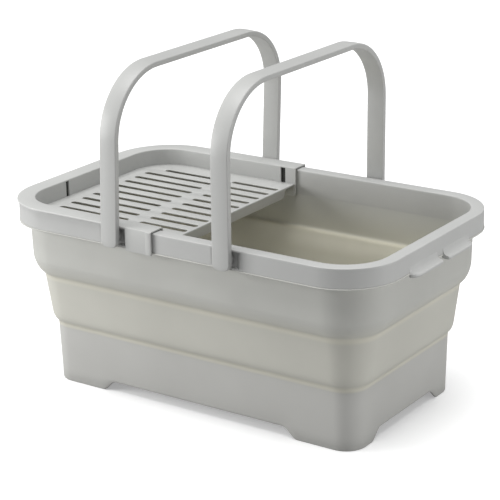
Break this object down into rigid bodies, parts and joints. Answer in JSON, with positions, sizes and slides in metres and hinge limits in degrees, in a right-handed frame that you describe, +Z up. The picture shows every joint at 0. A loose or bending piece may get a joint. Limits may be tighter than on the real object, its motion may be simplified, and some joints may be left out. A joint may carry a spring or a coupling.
{
  "type": "collapsible storage crate",
  "caption": "Rounded oblong crate with tiered walls that fold flat, two swinging U handles and a slotted drain tray over one half of its mouth.",
  "frame": {"origin": "on the floor under the middle of the crate", "axes": "+X along the crate's length to its open end, +Y across to its back, +Z up"},
  "size_m": [0.487, 0.3078, 0.3763],
  "materials": {
    "rim": "satin moulded polypropylene",
    "soft_wall": "matt thermoplastic rubber over polypropylene",
    "base": "satin moulded polypropylene",
    "tray": "satin moulded polypropylene",
    "handle": "satin moulded polypropylene",
    "pin": "smooth acetal",
    "cap": "smooth acetal"
  },
  "bodies": {
    "base": {"base_tub": "base"},
    "mid": {"middle_wall": "soft_wall"},
    "rim": {"rim_frame": "rim", "upper_wall": "soft_wall"},
    "handle_left": {"handle_left": "handle", "pivot_pin_left_front": "pin", "pin_cap_left_front": "cap", "pivot_pin_left_back": "pin", "pin_cap_left_back": "cap"},
    "handle_right": {"handle_right": "handle", "pivot_pin_right_front": "pin", "pin_cap_right_front": "cap", "pivot_pin_right_back": "pin", "pin_cap_right_back": "cap"},
    "tray": {"drain_tray": "tray"}
  },
  "joints": [
    {"name": "collapse", "type": "slide", "parent": "base", "child": "rim", "axis": [0, 0, -1], "range_m": [0, 0.118]},
    {"name": "mid_fold", "type": "slide", "parent": "base", "child": "mid", "axis": [0, 0, -1], "range_m": [0, 0.059]},
    {"name": "handle_left_swing", "type": "hinge", "parent": "rim", "child": "handle_left", "pos_m": [-0.0709, 0, 0.2001], "axis": [0, 1, 0], "range_deg": [-92.5, 17.5]},
    {"name": "handle_right_swing", "type": "hinge", "parent": "rim", "child": "handle_right", "pos_m": [0.0709, 0, 0.2001], "axis": [0, 1, 0], "range_deg": [-20.6, 89.4]},
    {"name": "tray_lift", "type": "slide", "parent": "rim", "child": "tray", "axis": [0, 0, 1], "range_m": [0, 0.08]}
  ],
  "couplings": [
    {"joint": "mid_fold", "follows": "collapse", "ratio": 0.5}
  ]
}
